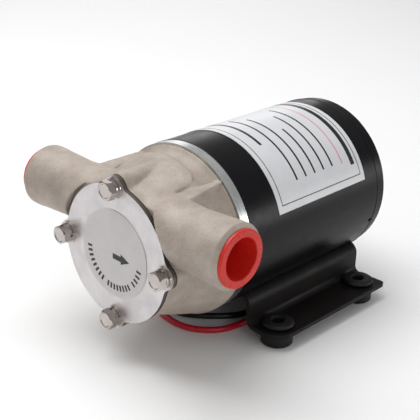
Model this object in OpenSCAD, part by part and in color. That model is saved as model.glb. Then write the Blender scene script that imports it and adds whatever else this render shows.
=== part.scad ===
// Flexible-impeller pump on a permanent-magnet DC motor.
// +X runs to the outlet port, +Y from the pump cover back along the motor, +Z up.
// The origin is the middle of the four foot holes, on the surface that the feet stand on.

/* [Overall] */
// Distance between foot holes across the motor
foot_pitch_x = 83; // [80:0.5:96]
// Distance between foot holes along the motor
foot_pitch_y = 62; // [50:0.5:66]
// Height of the motor axis above the ground
axis_h = 51; // [49:0.5:60]
// Distance from the middle of the foot holes forward to the cover's front face
head_front = 94; // [88:0.5:100]

/* [Cover] */
// Step from the motor flange in to the round cover plate's rim
cover_step = 8.5; // [7.5:0.1:9.5]
// Thickness of the cover plate
cover_t = 1.5; // [1:0.1:2.5]
// Thickness of the paper gasket
gasket_t = 0.8; // [0.4:0.1:1.2]
// Radius of the ear round each cover bolt
ear_r = 5.5; // [5.2:0.1:6.5]
// Radius of the hollow corner between an ear and the plate
ear_fillet_r = 4; // [2:0.5:6]
// Step from the cover plate's rim in to the circle of cover bolts
bolt_circle_step = 1; // [0.5:0.1:2]
// Nominal radius of the bolt thread
bolt_r = 2.5; // [2:0.5:2.5]
// Length of the bolt shank under the head
bolt_len = 14; // [10:1:18]
// Width across the flats of the hexagon head
bolt_flats = 8; // [7:0.5:8]
// Height of the hexagon head
bolt_head_h = 3.5; // [3:0.1:4]
// Outside radius of the flat washer
washer_r = 5; // [4.6:0.1:5.2]
// Thickness of the flat washer
washer_t = 1; // [0.6:0.1:1.2]
// Outside radius of the spring washer
spring_washer_r = 4.3; // [4:0.1:4.5]
// Thickness of the spring washer
spring_washer_t = 1.3; // [1:0.1:1.5]
// Step from the circle of cover bolts in to the round label on the cover
cover_label_step = 10.2; // [9.5:0.1:12]

/* [Pump body] */
// Length of the casting from its front land to its motor flange
body_len = 36.6; // [35:0.1:42]
// Radius of the motor flange, and of the motor
flange_r = 40; // [39.6:0.1:41]
// Length of the flange's cylindrical edge
flange_edge = 3.2; // [2:0.1:4]
// Wall between the cover plate's rim and the impeller chamber
chamber_wall = 6; // [5.8:0.1:7]
// Depth of the open space between the shaft seal and the motor
back_space = 6.3; // [6:0.1:8]
// Thickness of the wear plate at the bottom of the chamber
wear_plate_t = 0.8; // [0.5:0.1:1]
// Rise of the cam above the chamber wall
cam_rise = 3.2; // [2.5:0.1:3.4]
// Radius of the cam's working face
cam_face_r = 65; // [60:1:80]
// Step from the flange's rim down to the raised shoulder behind the top bolt
dome_drop = 2.5; // [1.5:0.1:3.5]
// Angle from the shoulder's middle to its ends
dome_half_angle = 38; // [34:1:42]
// Outside radius of the shaft seal
seal_r = 11; // [10:0.1:11.5]
// Width of the shaft seal
seal_w = 9; // [7:0.5:9.5]
// Wall between the open space behind the seal and the tie bolts
back_cavity_wall = 5.4; // [4:0.1:7]
// Radius of the weep hole under the seal
weep_r = 2; // [1.5:0.1:2.5]

/* [Ports] */
// Height of the port axis above the motor axis
port_z = 15.9; // [14.5:0.1:16.5]
// Distance of the port axis behind the cover's front face
port_y = 11.8; // [11.5:0.1:12.5]
// Distance from the motor axis to the end face of each port
port_end = 60.4; // [58:0.1:66]
// Outside radius of the hose neck
neck_r = 13.4; // [13:0.1:13.6]
// Outside radius of the hose bead
bead_r = 14.4; // [14:0.1:14.8]
// Length of the hose bead with its end chamfer
bead_len = 8; // [6:0.5:10]
// Length of the chamfer at the port's end
bead_chamfer = 1.9; // [1.2:0.1:2.2]
// Radius of the threaded mouth
mouth_r = 10.45; // [10.2:0.05:10.6]
// Depth of the threaded mouth
mouth_depth = 16; // [13:0.5:18]
// Radius of the passage into the chamber
passage_r = 7.5; // [6.5:0.1:8]

/* [Port plugs] */
// Radius of the plug's flange
plug_flange_r = 12.5; // [12:0.1:13.4]
// Thickness of the plug's flange
plug_flange_t = 1.6; // [1.2:0.1:2.2]
// Inside radius of the plug's cup at its mouth
plug_cup_r = 9.05; // [8.5:0.05:9.2]
// Inside radius of the plug's cup at its bottom
plug_bottom_r = 8.2; // [7.6:0.1:8.6]
// Depth of the plug's body inside the port
plug_depth = 13; // [10:0.5:15]
// Thickness of the plug's bottom
plug_wall = 1.2; // [1:0.1:1.6]
// Radial clearance of the plug in the mouth
plug_clear = 0.08; // [0.05:0.01:0.1]

/* [Impeller] */
// Number of flexible vanes
vane_count = 8; // [8]
// Outside radius of the metal insert
insert_r = 7; // [6:0.1:7.5]
// Outside radius of the rubber hub
hub_r = 10; // [9:0.1:10.5]
// Radius of the bulb on each vane's tip
vane_bulb_r = 1.9; // [1.5:0.1:2]
// Thickness of a vane at its root
vane_root_t = 3.2; // [2.4:0.1:3.4]
// Thickness of a vane below its bulb
vane_neck_t = 2.2; // [1.8:0.1:2.6]
// Gap between a vane's tip and what it sweeps
vane_gap = 0.35; // [0.3:0.05:0.5]
// Gap at each side of the impeller
side_gap = 0.3; // [0.3:0.05:0.4]
// Angle by which the cam folds a vane back
vane_bend = 25; // [15:1:28]

/* [Motor] */
// Thickness of the aluminium end bell seen behind the pump body
bell_t = 4.8; // [4:0.1:6]
// Wall of the steel motor tube
can_wall = 2; // [1.6:0.1:2.2]
// Length of the steel motor tube
can_len = 94.1; // [92:0.1:100]
// Thickness of the rear cap's rim
cap_t = 6.8; // [6:0.1:8]
// Step from the tube in to the rear cap's rim
cap_step = 0.6; // [0.4:0.1:1]
// Radius of the boss over the rear bearing
cap_boss_r = 15; // [14:0.5:17]
// Height of that boss behind the rim
cap_boss_h = 3; // [2:0.5:4]
// Depth to which both end pieces enter the tube
spigot_len = 4; // [3:0.5:5]
// Space between a tie bolt and the tube
tie_space = 1.6; // [1.6:0.1:2]
// Nominal radius of a tie bolt
tie_r = 2; // [1.5:0.5:2]
// Radius of a tie bolt's countersunk head
tie_head_r = 3.6; // [3:0.1:3.8]
// Outside radius of each ball bearing
bearing_r = 11; // [10:0.5:11.5]
// Width of each ball bearing
bearing_w = 7; // [6:0.5:7.5]
// Radius of the shaft at its ends
shaft_r = 4; // [3.5:0.5:4.5]
// Radius of the shaft inside the armature
shaft_mid_r = 5; // [4.5:0.1:5.5]
// Running clearance round the shaft and the balls
run_clear = 0.05; // [0.02:0.01:0.08]

/* [Magnets and armature] */
// Thickness of each magnet
magnet_t = 6.7; // [5:0.1:7.5]
// Number of armature slots
slot_count = 12; // [12]
// Width of a slot's mouth
slot_mouth = 2.6; // [2:0.1:3]
// Air gap between the core and the magnets
air_gap = 0.8; // [0.6:0.1:1.2]
// Reach of the magnets beyond each end of the core
magnet_reach = 4; // [1:0.5:5]
// Angle that each magnet covers
magnet_angle = 128; // [110:1:134]
// Length of each winding head
winding_head = 8.5; // [7:0.5:9]
// Radius of the commutator
commutator_r = 12.5; // [11:0.1:13]
// Length of the commutator
commutator_len = 13; // [10:0.5:13]
// Gap between the commutator and the rear bearing
commutator_gap = 1.6; // [1.2:0.1:2.5]
// Number of commutator bars
bar_count = 24; // [24]

/* [Brush gear] */
// Thickness of the brush plate
brush_plate_t = 2; // [1.6:0.1:2.4]
// Width of a carbon brush across the commutator
brush_w = 7; // [6:0.5:8]
// Width of a carbon brush along the shaft
brush_d = 6; // [5:0.5:7]
// Length of a carbon brush
brush_len = 12; // [10:0.5:13]
// Wall of a brush holder
holder_wall = 1; // [0.8:0.1:1.2]

/* [Base] */
// Thickness of the steel rails
rail_t = 2; // [1.5:0.1:2.2]
// Distance from the middle plane to the outer face of each rail's web
web_x = 32.8; // [31:0.1:33]
// Height of each rail's inward lip below the motor axis
lip_drop = 27.3; // [26:0.1:28]
// Height of the rails' flange top above the ground
rail_top = 8.8; // [8.4:0.1:10]
// Flange edge beyond the foot holes, sideways
rail_edge_x = 9.8; // [8.5:0.1:11]
// Flange edge in front of the front foot holes
rail_front = 10.2; // [9.6:0.1:12]
// Flange edge behind the rear foot holes
rail_rear = 10; // [8.5:0.1:12]
// Radius inside the foot of each rail's web
rail_fillet_r = 2.8; // [1.4:0.1:3]
// Radius over the top of each rail's web
rail_bend_r = 5.5; // [4:0.1:6]
// Radius of the flange's rear corner
rail_corner_r = 2; // [1:0.5:4]
// Radius of a rubber foot below the rail
foot_r = 7.5; // [7:0.1:8]
// Radius of a rubber foot's collar above the rail
collar_r = 7.7; // [7.2:0.1:7.8]
// Height of the collar above the rail
collar_h = 2.7; // [2:0.1:3.2]
// Bevel under the collar's rim
collar_bevel = 1.4; // [1:0.1:1.6]
// Radius of a rubber foot's groove
groove_r = 5.4; // [4.8:0.1:5.8]
// Radius of the hole for the mounting screw
foot_hole_r = 2.75; // [2.5:0.05:3]
// Radius of the dish round that hole
foot_dish_r = 3.4; // [3.2:0.1:4.6]
// Depth of that dish
foot_dish_h = 0.6; // [0.4:0.1:1.6]

/* [Labels] */
// Thickness of the labels
label_t = 0.25; // [0.2:0.05:0.4]
// Length of the motor label along the tube
label_len = 64; // [60:1:68]
// Start of the motor label behind the tube's front edge
label_start = 19.6; // [16:0.1:22]
// Angle from the top of the tube to the label's edge
label_half_angle = 73; // [60:1:80]

/* [Leads] */
// Radius of each insulated lead
lead_r = 1.5; // [1.3:0.1:1.5]
// Half the distance between the leads in the grommet
lead_half_gap = 3; // [2.9:0.1:3.1]
// Radius of the rubber lead grommet's ends
grommet_r = 3.4; // [3:0.1:3.8]
// Depth of the grommet below the motor tube
grommet_drop = 2; // [1.5:0.1:2.5]
// Radius of the bare strands at each lead's end
strand_r = 0.9; // [0.7:0.1:1.1]
// Length of the bare strands at each lead's end
strand_len = 7; // [5:0.5:9]

/* [Hidden] */
$fn = 96;

// One overrun serves every cut.
over = 1;
// Fitting radius of edges on cast and machined pieces
edge = 0.6;

// Radii of the pump end, inward from the motor flange
cover_r = flange_r - cover_step;
bolt_circle_r = cover_r - bolt_circle_step;
chamber_r = cover_r - chamber_wall;
cover_label_r = bolt_circle_r - cover_label_step;

// Stations along the motor axis, behind the cover's front face
land_y = cover_t + gasket_t;
seal_web = 1.8;
flange_y = land_y + body_len;
back_cavity_y = flange_y - back_space;
seal_end_y = back_cavity_y - seal_web;
chamber_y = seal_end_y - seal_w;
wear_y = chamber_y - wear_plate_t;
can_y = flange_y + bell_t;
can_end_y = can_y + can_len;
cap_end_y = can_end_y + cap_t;
front_bearing_y = can_y + 0.5 * edge;
bell_boss_end_y = front_bearing_y + bearing_w;
boss_wall = 3.5;
can_in_r = flange_r - can_wall;
cap_r = flange_r - cap_step;
dome_r = flange_r - dome_drop;
tie_circle_r = can_in_r - tie_space - tie_r;
back_cavity_r = tie_circle_r - tie_r - back_cavity_wall;
rear_bearing_y = cap_end_y - bearing_w;
rear_boss_end_y = cap_end_y + cap_boss_h;

// Bearing balls, from the races that they run between
ball_pitch_r = (bearing_r + shaft_r) / 2;
ball_r = 0.28 * (bearing_r - shaft_r);

// Where the armature lies: the core fills what the bearings, winding heads and commutator leave
winding_gap = 3;
commutator_y = rear_bearing_y - commutator_gap - commutator_len;
core_y = bell_boss_end_y + winding_gap + winding_head;
core_end_y = commutator_y - winding_head;
magnet_y = core_y - magnet_reach;
magnet_end_y = core_end_y + magnet_reach;
magnet_in_r = can_in_r - magnet_t;
core_r = magnet_in_r - air_gap;
brush_plate_y = can_end_y - spigot_len - brush_plate_t;
winding_bore = 1.5;
slot_root_share = 0.52;
slot_tooth_share = 0.56;

// Clear hole round what turns
shaft_hole_r = shaft_r + 1.2 * over;
tie_hole_clear = 0.2;
fit_gap = 0.3;
label_glue = 0.02;

module at_axis() { translate([0, -head_front, axis_h]) children(); }
// Extrudes an outline seen from the front, from station y0 to y1.
module along(y0, y1) { translate([0, y1, 0]) rotate([90, 0, 0]) linear_extrude(y1 - y0) children(); }
// Turns a profile of [radius, station] points about the motor axis.
module turned(points) { rotate([-90, 0, 0]) rotate_extrude() polygon(points); }
module ring(r_out, r_in, y0, y1) { along(y0, y1) difference() { circle(r_out); circle(r_in); } }
// Places children at equal angles round the motor axis.
module around(n, first = 0) { for (k = [0:n - 1]) rotate([0, first + k * 360 / n, 0]) children(); }
module mirrored(axis) { children(); mirror(axis) children(); }

// Round plate with four ears, whose inner corners are hollow arcs.
ear_reach = cover_r + ear_fillet_r;
ear_side = ear_r + ear_fillet_r;
ear_turn = acos((ear_reach * ear_reach + bolt_circle_r * bolt_circle_r - ear_side * ear_side)
  / (2 * ear_reach * bolt_circle_r));
ear_step = 0.05;
function polar(r, a) = [r * cos(a), r * sin(a)];
module eared(y0, y1) {
  union() {
    along(y0, y1) circle(cover_r);
    around(4) {
      along(y0, y1) translate([bolt_circle_r, 0]) circle(ear_r);
      along(y0, y1) difference() {
        polygon([[0, 0], polar(ear_reach, ear_turn), [bolt_circle_r, 0], polar(ear_reach, -ear_turn)]);
        for (s = [-1, 1]) translate(polar(ear_reach, s * ear_turn)) circle(ear_fillet_r - ear_step);
      }
    }
  }
}
module bolt_holes_2d(r) { for (a = [0:90:270]) rotate(a) translate([bolt_circle_r, 0]) circle(r); }

module cover_plate() {
  color([0.8, 0.79, 0.8]) at_axis() difference() {
    eared(0, cover_t);
    along(-over, cover_t + over) bolt_holes_2d(bolt_r);
  }
}
module cover_gasket() {
  color([0.25, 0.24, 0.22]) at_axis() difference() {
    eared(cover_t, land_y);
    along(0, land_y + over) circle(chamber_r);
    along(0, land_y + over) bolt_holes_2d(bolt_r);
  }
}
module cover_label() {
  color([0.75, 0.74, 0.74]) at_axis() along(-label_t, 0) circle(cover_label_r);
}
stack_y = washer_t + spring_washer_t;
module hex_head(flats, height) {
  // The head's outer face is toward -Y; its corners are turned down and its top is dished.
  corner_r = flats / 2 / cos(180 / 6);
  dish_r = flats * 0.36;
  dish_h = height * 0.1;
  difference() {
    intersection() {
      along(-height, 0) rotate(30) circle(corner_r, $fn = 6);
      turned([[0, -height], [flats * 0.46, -height], [corner_r, -height * 0.8], [corner_r, 0], [0, 0]]);
    }
    turned([[0, -height - over], [dish_r + dish_h, -height - over], [dish_r + dish_h, -height],
      [dish_r, -height + dish_h], [0, -height + dish_h]]);
  }
}
module at_cover_bolts() { around(4) translate([bolt_circle_r, 0, 0]) children(); }
module cover_bolts() {
  color([0.7, 0.68, 0.67]) at_axis() at_cover_bolts() union() {
    translate([0, -stack_y, 0]) hex_head(bolt_flats, bolt_head_h);
    turned([[0, -stack_y], [bolt_r, -stack_y], [bolt_r, bolt_len - stack_y - edge],
      [bolt_r - edge, bolt_len - stack_y], [0, bolt_len - stack_y]]);
  }
}
module cover_spring_washers() {
  split_w = spring_washer_t * 0.6;
  color([0.66, 0.65, 0.64]) at_axis() at_cover_bolts() difference() {
    ring(spring_washer_r, bolt_r, -stack_y, -washer_t);
    translate([0, -washer_t - spring_washer_t / 2, 0]) rotate([0, 0, 20])
      translate([-spring_washer_r, -split_w, -split_w / 2])
        cube([spring_washer_r - bolt_r + over, 2 * split_w + over, split_w]);
  }
}
module cover_flat_washers() {
  color([0.74, 0.73, 0.72]) at_axis() at_cover_bolts() ring(washer_r, bolt_r, -washer_t, 0);
}

// Outer profile between the front land and the flange: [share of length, share of radius gain]
skirt_shares = [[0, 0], [0.1, 0.02], [0.25, 0.12], [0.4, 0.3], [0.56, 0.52], [0.7, 0.7],
  [0.82, 0.84], [0.9, 0.93]];
skirt_front_r = cover_r - edge;
skirt_points = [for (p = skirt_shares) [skirt_front_r + p[1] * (flange_r - skirt_front_r),
  land_y + p[0] * body_len]];
// Raised shoulder over the top: [share of length, share of its radius gain]
dome_shares = [[0.06, 0], [0.21, 0.17], [0.32, 0.44], [0.43, 0.7], [0.51, 0.88], [0.59, 0.98], [0.64, 1],
  [0.69, 0.97], [0.74, 0.84], [0.78, 0.62]];
dome_points = [for (p = dome_shares) [skirt_front_r + p[1] * (dome_r - skirt_front_r),
  land_y + p[0] * body_len]];
// Boss that runs back from the top bolt: [share of length, radius as a share of the ear's radius]
boss_shares = [[0, 1], [0.12, 1], [0.3, 1.12], [0.5, 1.24], [0.62, 1.2], [0.7, 1]];
gusset_r = 1.2;
gusset_t = 2.8;
gusset_tip_r = 0.7;
gusset_tip_angle = 50.5;
groove_cut_r = 5;
groove_cut_depth = 3.4;
groove_from = 16;
tongue_w = 4;
tongue_h = 1.8;
thread_drill_depth = bolt_len + 2 * over;
mouth_chamfer = 0.8;

module port_outside() {
  // Neck, bead with chamfered shoulders and a slight flare into the body, for the +X side.
  translate([0, port_y, port_z]) rotate([0, 90, 0]) rotate_extrude() polygon([[0, 0],
    [neck_r + edge, 0], [neck_r + edge, 0.42 * port_end], [neck_r, 0.66 * port_end],
    [neck_r, port_end - bead_len - edge], [bead_r - edge / 3, port_end - bead_len],
    [bead_r, port_end - bead_len + edge / 2], [bead_r, port_end - bead_chamfer],
    [bead_r - 0.85 * bead_chamfer, port_end], [0, port_end]]);
}
module port_inside() {
  translate([0, port_y, port_z]) rotate([0, 90, 0]) rotate_extrude() polygon([[0, 0], [passage_r, 0],
    [passage_r, port_end - mouth_depth], [mouth_r, port_end - mouth_depth + 2 * edge],
    [mouth_r, port_end - mouth_chamfer], [mouth_r + mouth_chamfer, port_end],
    [mouth_r + mouth_chamfer, port_end + over], [0, port_end + over]]);
}
module gusset() {
  // A plate with a flat upper face that leaves the neck's top and narrows to a point at the flange's rim.
  hull() {
    for (p = [[0.9, 0, 0.99], [1.94, 0.24, 0.83]]) // shares of the neck's radius, from the port's axis
      translate([p[0] * neck_r, port_y + p[1] * neck_r, port_z + p[2] * neck_r - gusset_t])
        cylinder(r = gusset_r, h = gusset_t, $fn = 16);
    rotate([0, -gusset_tip_angle, 0]) translate([flange_r - gusset_t, flange_y - gusset_tip_r, 0])
      rotate([0, 90, 0]) cylinder(r = gusset_tip_r, h = gusset_t - edge / 2, $fn = 16);
  }
}
module dome() {
  // Raised shoulder, turned about the motor axis, with the boss of the top bolt running into it
  rotate([0, dome_half_angle - 90, 0]) rotate([-90, 0, 0]) mirror([0, 1, 0])
    rotate_extrude(angle = 2 * dome_half_angle) polygon(concat([[chamber_r - edge, dome_points[0][1]]],
      dome_points,
      [[chamber_r - edge, dome_points[len(dome_points) - 1][1]]]));
  translate([0, 0, bolt_circle_r]) turned(concat([[0, land_y]],
    [for (p = boss_shares) [p[1] * ear_r, land_y + p[0] * body_len]],
    [[0, land_y + boss_shares[len(boss_shares) - 1][0] * body_len]]));
}
module scallop() {
  // Channel over the top, in front of the flange
  rotate([0, groove_from - 180, 0]) rotate([-90, 0, 0]) rotate_extrude(angle = 180 - 2 * groove_from)
    translate([flange_r + groove_cut_r - groove_cut_depth, flange_y - flange_edge - groove_cut_r * 0.9])
      circle(groove_cut_r);
}
module pump_body() {
  color([0.72, 0.66, 0.6]) at_axis() difference() {
    union() {
      difference() {
        turned(concat([[0, land_y]], skirt_points, [[flange_r, flange_y - flange_edge],
          [flange_r, flange_y], [0, flange_y]]));
        scallop();
      }
      eared(land_y, land_y + ear_r);
      at_cover_bolts() along(land_y, land_y + 0.6 * body_len) circle(ear_r);
      dome();
      mirrored([1, 0, 0]) { port_outside(); gusset(); }
    }
    along(-2 * neck_r, land_y) circle(cover_r + 3 * edge);
    along(land_y - over, chamber_y) circle(chamber_r);
    along(land_y - over, wear_y) cam_tongue(0);
    along(chamber_y - over, seal_end_y) circle(seal_r);
    along(seal_end_y - over, back_cavity_y + over) circle(shaft_hole_r);
    along(back_cavity_y, flange_y + over) circle(back_cavity_r);
    mirrored([1, 0, 0]) port_inside();
    at_cover_bolts() along(land_y - over, thread_drill_depth) circle(bolt_r);
    translate([0, back_cavity_y + 1.5 * weep_r, -flange_r - over]) cylinder(r = weep_r, h = flange_r);
    tie_holes(flange_y - tie_thread + over, flange_y + over, tie_r);
  }
}
module cam_tongue(shrink) {
  translate([-tongue_w / 2, chamber_r - cam_rise]) square([tongue_w, cam_rise + tongue_h - shrink]);
}
module cam_block() {
  color([0.72, 0.55, 0.3]) at_axis() along(land_y, wear_y) union() {
    difference() {
      circle(chamber_r);
      translate([0, chamber_r - cam_rise - cam_face_r]) circle(cam_face_r, $fn = 180);
    }
    cam_tongue(0);
  }
}
module wear_plate() {
  color([0.78, 0.77, 0.76]) at_axis() ring(chamber_r, shaft_hole_r + edge, wear_y, chamber_y);
}
module shaft_seal() {
  lip_y = chamber_y + 0.3 * seal_w;
  color([0.12, 0.12, 0.12]) at_axis() turned([[shaft_r + run_clear, lip_y], [shaft_r + run_clear,
    lip_y + edge],
    [shaft_r + 2 * over, lip_y + 2 * edge], [shaft_r + 2 * over, seal_end_y - edge],
    [shaft_r + 2 * over - edge, seal_end_y], [seal_r, seal_end_y], [seal_r, chamber_y],
    [seal_r - 2 * edge, chamber_y], [seal_r - 2 * edge, lip_y]]);
}

module port_plug() {
  outer_r = mouth_r - plug_clear;
  x0 = port_end - plug_depth;
  translate([0, port_y, port_z]) rotate([0, 90, 0]) rotate_extrude() polygon([[0, x0],
    [plug_bottom_r + plug_wall - edge, x0], [plug_bottom_r + plug_wall, x0 + edge],
    [outer_r, port_end - mouth_chamfer - 3 * edge], [outer_r, port_end],
    [plug_flange_r, port_end], [plug_flange_r, port_end + plug_flange_t - edge / 2],
    [plug_flange_r - edge / 2, port_end + plug_flange_t],
    [plug_cup_r + edge / 2, port_end + plug_flange_t], [plug_cup_r, port_end + plug_flange_t - edge / 2],
    [plug_bottom_r, x0 + plug_wall + edge], [plug_bottom_r - edge, x0 + plug_wall], [0, x0 + plug_wall]]);
}
module port_plug_right() { color([0.85, 0.12, 0.1]) at_axis() port_plug(); }
module port_plug_left() { color([0.85, 0.12, 0.1]) at_axis() mirror([1, 0, 0]) port_plug(); }

tie_thread = 7;
module tie_holes(y0, y1, r) {
  for (s = [-1, 1]) translate([s * tie_circle_r, 0, 0]) along(y0, y1) circle(r);
}
module front_end_bell() {
  color([0.82, 0.83, 0.85]) at_axis() difference() {
    turned([[shaft_hole_r, flange_y], [flange_r, flange_y], [flange_r, can_y], [can_in_r, can_y],
      [can_in_r, can_y + spigot_len], [can_in_r - 2 * can_wall, can_y + spigot_len],
      [can_in_r - 2 * can_wall, can_y], [bearing_r + boss_wall, can_y],
      [bearing_r + boss_wall, bell_boss_end_y], [bearing_r, bell_boss_end_y],
      [bearing_r, front_bearing_y], [shaft_hole_r, front_bearing_y]]);
    tie_holes(flange_y - over, can_y + spigot_len + over, tie_r);
  }
}
module bearing_outer(y0) {
  difference() {
    ring(bearing_r, ball_pitch_r + 0.66 * ball_r, y0, y0 + bearing_w);
    rotate([-90, 0, 0]) rotate_extrude() translate([ball_pitch_r, y0 + bearing_w / 2])
      circle(ball_r + run_clear);
  }
}
module bearing_inner(y0) {
  difference() {
    ring(ball_pitch_r - 0.66 * ball_r, shaft_r, y0, y0 + bearing_w);
    rotate([-90, 0, 0]) rotate_extrude() translate([ball_pitch_r, y0 + bearing_w / 2])
      circle(ball_r + run_clear);
  }
}
ball_count = 7;
module ball_cage(y0) {
  translate([0, y0 + bearing_w / 2, 0]) {
    around(ball_count) translate([ball_pitch_r, 0, 0]) sphere(ball_r, $fn = 48);
    ring(ball_pitch_r + 0.3 * ball_r, ball_pitch_r - 0.3 * ball_r, -0.4 * ball_r, 0.4 * ball_r);
  }
}
module front_bearing_outer() { color([0.6, 0.6, 0.62]) at_axis() bearing_outer(front_bearing_y); }
module front_bearing_inner() { color([0.65, 0.65, 0.67]) at_axis() bearing_inner(front_bearing_y); }
module rear_bearing_outer() { color([0.6, 0.6, 0.62]) at_axis() bearing_outer(rear_bearing_y); }
module rear_bearing_inner() { color([0.65, 0.65, 0.67]) at_axis() bearing_inner(rear_bearing_y); }
module front_ball_cage() { color([0.7, 0.6, 0.4]) at_axis() ball_cage(front_bearing_y); }
module rear_ball_cage() { color([0.7, 0.6, 0.4]) at_axis() ball_cage(rear_bearing_y); }

// Angle of the keyhole notch in the tube's rear edge, and of the notch in the cap's rim
keyhole_angle = -18;
keyhole_r = 1.1;
rim_notch_angle = 66;
rim_notch_r = 1.3;
grommet_y = can_end_y - grommet_r - 3 * edge;

module grommet_slot_2d(r) { for (s = [-1, 1]) translate([s * (lead_half_gap - r / 3), 0]) circle(r);
  square([2 * (lead_half_gap - r / 3), 2 * r], center = true); }
module motor_can() {
  color([0.09, 0.09, 0.1]) at_axis() difference() {
    ring(flange_r, can_in_r, can_y, can_end_y);
    rotate([0, -keyhole_angle, 0]) translate([can_in_r - over, can_end_y - 2 * keyhole_r, 0])
      rotate([0, 90, 0]) union() {
        cylinder(r = keyhole_r, h = can_wall + 2 * over, $fn = 32);
        translate([-keyhole_r / 2, 0, 0]) cube([keyhole_r, 2 * keyhole_r + over, can_wall + 2 * over]);
      }
    translate([0, grommet_y, -flange_r - over]) linear_extrude(2 * can_wall + over)
      grommet_slot_2d(grommet_r - edge);
  }
}
module magnet() {
  along(magnet_y, magnet_end_y) intersection() {
    difference() { circle(can_in_r); circle(magnet_in_r); }
    polygon([[0, 0], polar(3 * flange_r, 90 - magnet_angle / 2), polar(3 * flange_r, 90),
      polar(3 * flange_r, 90 + magnet_angle / 2)]);
  }
}
module magnet_upper() { color([0.22, 0.22, 0.24]) at_axis() magnet(); }
module magnet_lower() { color([0.22, 0.22, 0.24]) at_axis() mirror([0, 0, 1]) magnet(); }

module rear_end_cap() {
  vent_w = 3;
  color([0.1, 0.1, 0.11]) at_axis() difference() {
    turned([[0, rear_boss_end_y], [cap_boss_r - edge, rear_boss_end_y], [cap_boss_r, rear_boss_end_y - edge],
      [cap_boss_r, cap_end_y], [cap_r - 2 * edge, cap_end_y], [cap_r, cap_end_y - 2 * edge],
      [cap_r, can_end_y], [can_in_r, can_end_y], [can_in_r, can_end_y - spigot_len],
      [can_in_r - can_wall, can_end_y - spigot_len], [can_in_r - can_wall, cap_end_y - boss_wall],
      [bearing_r + boss_wall, cap_end_y - boss_wall], [bearing_r + boss_wall, rear_bearing_y],
      [bearing_r, rear_bearing_y], [bearing_r, cap_end_y], [0, cap_end_y]]);
    tie_holes(can_end_y - spigot_len - over, cap_end_y + over, tie_r + tie_hole_clear);
    for (s = [-1, 1]) translate([s * tie_circle_r, 0, 0]) turned(tie_head_points);
    rotate([0, -rim_notch_angle, 0]) translate([cap_r, cap_end_y, 0]) sphere(rim_notch_r);
  }
}
tie_head_points = [[0, cap_end_y], [tie_head_r, cap_end_y], [tie_head_r, cap_end_y - edge / 2],
  [tie_r, cap_end_y - edge / 2 - tie_head_r + tie_r], [0, cap_end_y - edge / 2 - tie_head_r + tie_r]];
module tie_bolts() {
  color([0.6, 0.6, 0.62]) at_axis() for (s = [-1, 1]) translate([s * tie_circle_r, 0, 0]) difference() {
    union() {
      along(flange_y - tie_thread + 2 * over, cap_end_y - edge) circle(tie_r);
      turned(tie_head_points);
    }
    along(cap_end_y - 0.7 * tie_r, cap_end_y + over) circle(0.7 * tie_r, $fn = 6);
  }
}
module motor_label() {
  color([0.85, 0.86, 0.87]) at_axis() rotate([0, label_half_angle - 90, 0]) rotate([-90, 0, 0])
    mirror([0, 1, 0]) rotate_extrude(angle = 2 * label_half_angle)
      translate([flange_r + label_glue, can_y + label_start]) square([label_t, label_len]);
}

insert_end_y = wear_y - side_gap;
insert_y = land_y + side_gap;
flat_share = 0.75;
module shaft_section(r) { difference() { circle(r); translate([-r, flat_share * r]) square([2 * r, r]); } }
module rotor_shaft() {
  color([0.75, 0.75, 0.77]) at_axis() union() {
    along(insert_y + 2 * edge, insert_end_y) shaft_section(shaft_r);
    turned([[0, insert_end_y], [shaft_r, insert_end_y], [shaft_r, bell_boss_end_y],
      [shaft_mid_r, bell_boss_end_y], [shaft_mid_r, rear_bearing_y], [shaft_r, rear_bearing_y], [shaft_r,
        cap_end_y - 2 * edge],
      [shaft_r - edge, cap_end_y - edge], [0, cap_end_y - edge]]);
  }
}
module impeller_insert() {
  color([0.78, 0.6, 0.3]) at_axis() along(insert_y, insert_end_y) difference() {
    circle(insert_r);
    shaft_section(shaft_r);
  }
}
vane_steps = 6;
// Centre of a vane at share s of its way out; tip_r is the bulb's centre, back its fold in degrees.
function vane_at(s, tip_r, back) = polar(hub_r - edge + s * (tip_r - hub_r + edge), 90 - back * s * s);
function vane_half(s) = (vane_root_t + s * (vane_neck_t - vane_root_t)) / 2;
function vane_side(s, tip_r, back, side) = let (a = vane_at(s, tip_r, back),
  b = vane_at(s + 0.02, tip_r, back), d = (b - a) / norm(b - a)) a + side * vane_half(s) * [-d[1], d[0]];
module vane(tip_r, back) {
  along(insert_y, insert_end_y) polygon(concat(
    [for (k = [0:vane_steps]) vane_side(k / vane_steps, tip_r, back, 1)],
    [for (k = [vane_steps:-1:0]) vane_side(k / vane_steps, tip_r, back, -1)]));
  along(insert_y, insert_end_y) translate(vane_at(1, tip_r, back)) circle(vane_bulb_r);
}
module impeller_vanes() {
  free_tip_r = chamber_r - vane_gap - vane_bulb_r;
  cam_tip_r = chamber_r - cam_rise - vane_gap - vane_bulb_r;
  color([0.1, 0.1, 0.1]) at_axis() union() {
    ring(hub_r, insert_r, insert_y, insert_end_y);
    for (k = [0:vane_count - 1]) let (a = (k + 0.5) * 360 / vane_count, folded = abs(a - 90) < 30)
      rotate([0, 90 - a, 0]) vane(folded ? cam_tip_r : free_tip_r, folded ? vane_bend : 0);
  }
}
module shaft_slinger() {
  slinger_y = back_cavity_y + edge;
  color([0.13, 0.13, 0.13]) at_axis() turned([[shaft_r, slinger_y], [2 * shaft_r, slinger_y],
    [3 * shaft_r, slinger_y + edge], [3 * shaft_r, slinger_y + 2 * edge],
    [1.6 * shaft_r, slinger_y + 3 * edge], [1.6 * shaft_r, slinger_y + shaft_r],
    [shaft_r, slinger_y + shaft_r]]);
}
slot_root_r = slot_root_share * core_r;
slot_out_r = core_r - 2.5 * over;
slot_half_turn = 180 / slot_count * slot_tooth_share;
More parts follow.
